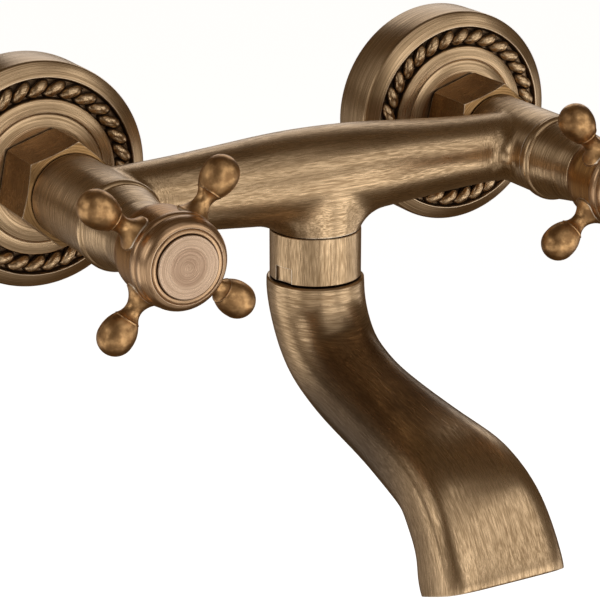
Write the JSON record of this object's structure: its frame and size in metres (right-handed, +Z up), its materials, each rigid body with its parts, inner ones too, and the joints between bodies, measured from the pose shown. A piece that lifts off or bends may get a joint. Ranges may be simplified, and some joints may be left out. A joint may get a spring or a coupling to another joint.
{
  "type": "wall mounted bath faucet",
  "caption": "Wall mounted bath faucet with a swelling crossbar, cross handles at both ends, rope-ringed wall flanges and a swivelling S-shaped spout.",
  "frame": {"origin": "On the wall face, midway between the two wall pipes, whose axes are at X = -75 mm and +75 mm, Z = 0", "axes": "+X from the hot (left) to the cold (right) inlet as seen from the room, +Y into the wall, +Z up. The faucet stands out towards -Y, and its two valve axes are 8 mm above the pipes."},
  "size_m": [0.2208, 0.1816, 0.134],
  "materials": {
    "antique_brass": "antique brushed, yellow-brown with a dark patina in the recesses",
    "copper_brass": "antique, smoother and redder",
    "plain_brass": "machined",
    "ceramic": "lapped alumina ceramic",
    "rubber": "matte",
    "acetal": "matte",
    "steel": "zinc plated"
  },
  "bodies": {
    "faucet": {"body": "antique_brass", "spout_collar": "antique_brass", "left_eccentric_union": "plain_brass", "left_flange": "antique_brass", "left_union_nut": "antique_brass", "left_inlet_gasket": "rubber", "left_inlet_nipple": "plain_brass", "left_cartridge_body": "plain_brass", "left_cartridge_seal": "rubber", "left_fixed_disc": "ceramic", "left_valve_sleeve": "antique_brass", "right_eccentric_union": "plain_brass", "right_flange": "antique_brass", "right_union_nut": "antique_brass", "right_inlet_gasket": "rubber", "right_inlet_nipple": "plain_brass", "right_cartridge_body": "plain_brass", "right_cartridge_seal": "rubber", "right_fixed_disc": "ceramic", "right_valve_sleeve": "antique_brass"},
    "left_handle": {"left_moving_disc": "ceramic", "left_cartridge_stem": "plain_brass", "left_stem_o_rings": "rubber", "left_handle_hub": "antique_brass", "left_lever_1": "copper_brass", "left_lever_2": "copper_brass", "left_lever_3": "copper_brass", "left_lever_4": "copper_brass", "left_index_button": "copper_brass", "left_handle_screw": "steel"},
    "right_handle": {"right_moving_disc": "ceramic", "right_cartridge_stem": "plain_brass", "right_stem_o_rings": "rubber", "right_handle_hub": "antique_brass", "right_lever_1": "copper_brass", "right_lever_2": "copper_brass", "right_lever_3": "copper_brass", "right_lever_4": "copper_brass", "right_index_button": "copper_brass", "right_handle_screw": "steel"},
    "spout": {"spout": "antique_brass", "spout_o_rings": "rubber", "spout_split_ring": "acetal", "flow_straightener": "acetal"}
  },
  "joints": [
    {"name": "left_handle_turn", "type": "hinge", "parent": "faucet", "child": "left_handle", "pos_m": [-0.075, -0.106, 0.008], "axis": [0, -1, 0], "range_deg": [0, 90]},
    {"name": "right_handle_turn", "type": "hinge", "parent": "faucet", "child": "right_handle", "pos_m": [0.075, -0.106, 0.008], "axis": [0, 1, 0], "range_deg": [0, 90]},
    {"name": "spout_swivel", "type": "hinge", "parent": "faucet", "child": "spout", "pos_m": [0, -0.054, -0.01], "axis": [0, 0, 1], "range_deg": [-90, 90]}
  ]
}
